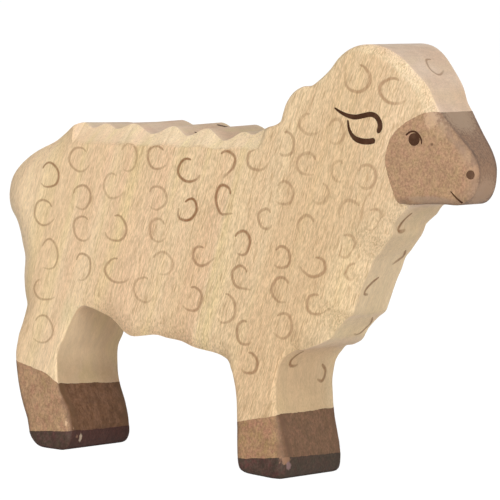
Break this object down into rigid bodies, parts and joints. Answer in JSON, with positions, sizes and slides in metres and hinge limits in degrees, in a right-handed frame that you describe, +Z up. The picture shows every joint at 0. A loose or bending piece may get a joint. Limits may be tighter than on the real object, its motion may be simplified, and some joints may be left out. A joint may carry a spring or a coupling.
{
  "type": "wooden sheep figure",
  "caption": "Standing sheep figure sawn in outline from one thick board, with sanded edges, a scalloped back, a wedge-shaped head and painted face, socks and hooves.",
  "frame": {"origin": "bottom centre of the bounding box, on the plane that both soles stand on", "axes": "+X towards the nose, +Y towards the sheep's left side through the board's thickness, +Z up"},
  "size_m": [0.1214, 0.024, 0.0968],
  "materials": {
    "bare_wood": "sanded pale hardwood, oiled",
    "face_paint": "thin brown glaze with the grain showing",
    "sock_paint": "thin brown glaze with the grain showing",
    "hoof_paint": "dark brown paint, worn at the corners",
    "line_paint": "dark brown brush lines"
  },
  "bodies": {
    "root": {"sheep_body": "bare_wood", "face_coat": "face_paint", "hind_sock_coat": "sock_paint", "fore_sock_coat": "sock_paint", "hind_hoof_coat": "hoof_paint", "fore_hoof_coat": "hoof_paint", "right_upper_ear_mark": "line_paint", "right_lower_ear_mark": "line_paint", "right_eye_mark": "line_paint", "right_nostril_mark": "line_paint", "right_mouth_mark": "line_paint", "left_upper_ear_mark": "line_paint", "left_lower_ear_mark": "line_paint", "left_eye_mark": "line_paint", "left_nostril_mark": "line_paint", "left_mouth_mark": "line_paint"}
  },
  "joints": []
}
